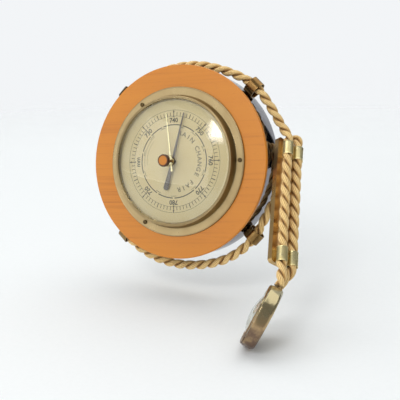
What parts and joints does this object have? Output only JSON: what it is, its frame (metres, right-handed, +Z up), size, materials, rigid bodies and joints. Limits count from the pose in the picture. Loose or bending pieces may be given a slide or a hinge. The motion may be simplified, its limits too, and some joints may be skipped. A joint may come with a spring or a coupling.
{
  "type": "barometer",
  "caption": "Round wall barometer in a metal drum with a wooden face, a rope laid round it in brass bands, and a rope strap with a thermometer bar and a small hygrometer.",
  "frame": {"origin": "centre of the back cover's outer face, on the drum's own axis", "axes": "+Z up as the barometer leans on its display stand, +X level across the dial to the strap's side, +Y level into the back; the dial looks towards -Y and leans back by 12.6 degrees, and is rolled 6.4 degrees anticlockwise about its axis"},
  "size_m": [0.2259, 0.1548, 0.2043],
  "materials": {
    "chromed_metal": "polished bright metal",
    "stained_wood": "orange-brown stained wood, satin",
    "backing_board": "dark hardboard",
    "polished_brass": "lacquered olive brass",
    "aged_brass": "darker aged brass",
    "movement_brass": "plain brass",
    "steel": "plain steel",
    "blued_steel": "dark blued steel",
    "printed_dial": "champagne printed metal",
    "clear_glass": "clear",
    "hemp_rope": "straw-coloured three-strand rope",
    "red_spirit": "red spirit thread, a liquid in the real one"
  },
  "bodies": {
    "barometer": {"drum_shell": "chromed_metal", "back_cover": "backing_board", "back_cover_screw_1": "steel", "back_cover_screw_2": "steel", "front_panel": "stained_wood", "panel_screw_1": "steel", "panel_screw_2": "steel", "panel_screw_3": "steel", "bezel": "polished_brass", "bezel_screw_1": "aged_brass", "bezel_screw_2": "aged_brass", "bezel_screw_3": "aged_brass", "crystal": "clear_glass", "sight_ring": "polished_brass", "dial": "printed_dial", "crystal_bush": "polished_brass", "instrument_case": "steel", "movement_base": "movement_brass", "aneroid_capsule": "movement_brass", "knife_edge": "steel", "main_spring": "blued_steel", "spring_yoke": "movement_brass", "lower_bridge": "movement_brass", "upper_bridge": "movement_brass", "hairspring": "blued_steel", "rope_ring": "hemp_rope", "rope_clip_upper_right": "aged_brass", "rope_clip_upper_left": "aged_brass", "rope_clip_lower_left": "aged_brass", "rope_clip_lower_right": "aged_brass", "clip_screw_upper_right": "aged_brass", "clip_screw_upper_left": "aged_brass", "clip_screw_lower_left": "aged_brass", "clip_screw_lower_right": "aged_brass"},
    "pressure_hand": {"pressure_hand": "blued_steel", "hand_arbor": "steel"},
    "main_lever": {"main_lever": "steel"},
    "rocker": {"rocker_shaft": "movement_brass"},
    "chain": {"arbor_chain": "steel"},
    "set_hand": {"set_hand": "polished_brass", "set_knob": "polished_brass"},
    "adjusting_screw": {"adjusting_screw": "movement_brass"},
    "strap": {"thermometer_case": "polished_brass", "scale_plate": "printed_dial", "thermometer_tube": "clear_glass", "thermometer_spirit": "red_spirit", "tube_clip_1": "polished_brass", "tube_clip_2": "polished_brass", "ferrule_top_front": "polished_brass", "ferrule_top_back": "polished_brass", "ferrule_bottom_front": "polished_brass", "ferrule_bottom_back": "polished_brass", "rope_front": "hemp_rope", "rope_back": "hemp_rope"},
    "hygrometer": {"hygrometer_case": "aged_brass", "hygrometer_bezel": "polished_brass", "hygrometer_crystal": "clear_glass", "hygrometer_dial": "printed_dial", "humidity_coil": "aged_brass"},
    "humidity_hand": {"humidity_hand": "blued_steel"}
  },
  "joints": [
    {"name": "pressure_reading", "type": "hinge", "parent": "barometer", "child": "pressure_hand", "pos_m": [0, -0.04196, 0.00938], "axis": [0, 0.9759, -0.2181], "range_deg": [-80, 234], "stiffness_Nm_per_rad": 0.0003},
    {"name": "rocker_turn", "type": "hinge", "parent": "barometer", "child": "rocker", "pos_m": [0.02186, -0.01762, 0.00645], "axis": [-0.1115, 0.2168, 0.9698], "range_deg": [-7.73, 22.51]},
    {"name": "lever_tilt", "type": "hinge", "parent": "barometer", "child": "main_lever", "pos_m": [0.00398, -0.02586, 0.00624], "axis": [-0.1115, 0.2168, 0.9698], "range_deg": [-2.01, 5.78]},
    {"name": "chain_pull", "type": "slide", "parent": "barometer", "child": "chain", "axis": [0.9484, 0.0692, 0.3094], "range_m": [-0.0017, 0.00492]},
    {"name": "set_hand_turn", "type": "hinge", "parent": "barometer", "child": "set_hand", "pos_m": [0, -0.0488, 0.01091], "axis": [0, 0.9759, -0.2181], "continuous": true},
    {"name": "zero_adjustment", "type": "hinge", "parent": "barometer", "child": "adjusting_screw", "pos_m": [-0.02385, -0.01034, -0.00043], "axis": [0, -0.9759, 0.2181], "range_deg": [-180, 180]},
    {"name": "strap_fold", "type": "hinge", "parent": "barometer", "child": "strap", "pos_m": [0.09659, -0.00473, 0.02776], "axis": [-0.4506, -0.7354, 0.5061], "range_deg": [0, 60]},
    {"name": "hygrometer_swing", "type": "hinge", "parent": "strap", "child": "hygrometer", "pos_m": [0.12171, -0.0938, -0.06941], "axis": [0.4619, -0.6624, 0.5898], "range_deg": [-30, 30]},
    {"name": "humidity_reading", "type": "hinge", "parent": "hygrometer", "child": "humidity_hand", "pos_m": [0.11744, -0.11312, -0.08777], "axis": [-0.8727, -0.2209, 0.4354], "range_deg": [-130, 130], "stiffness_Nm_per_rad": 0.0001}
  ],
  "couplings": [
    {"joint": "rocker_turn", "follows": "pressure_reading", "ratio": 0.096},
    {"joint": "lever_tilt", "follows": "pressure_reading", "ratio": 0.0245},
    {"joint": "chain_pull", "follows": "pressure_reading", "m_per_rad": 0.0012}
  ]
}
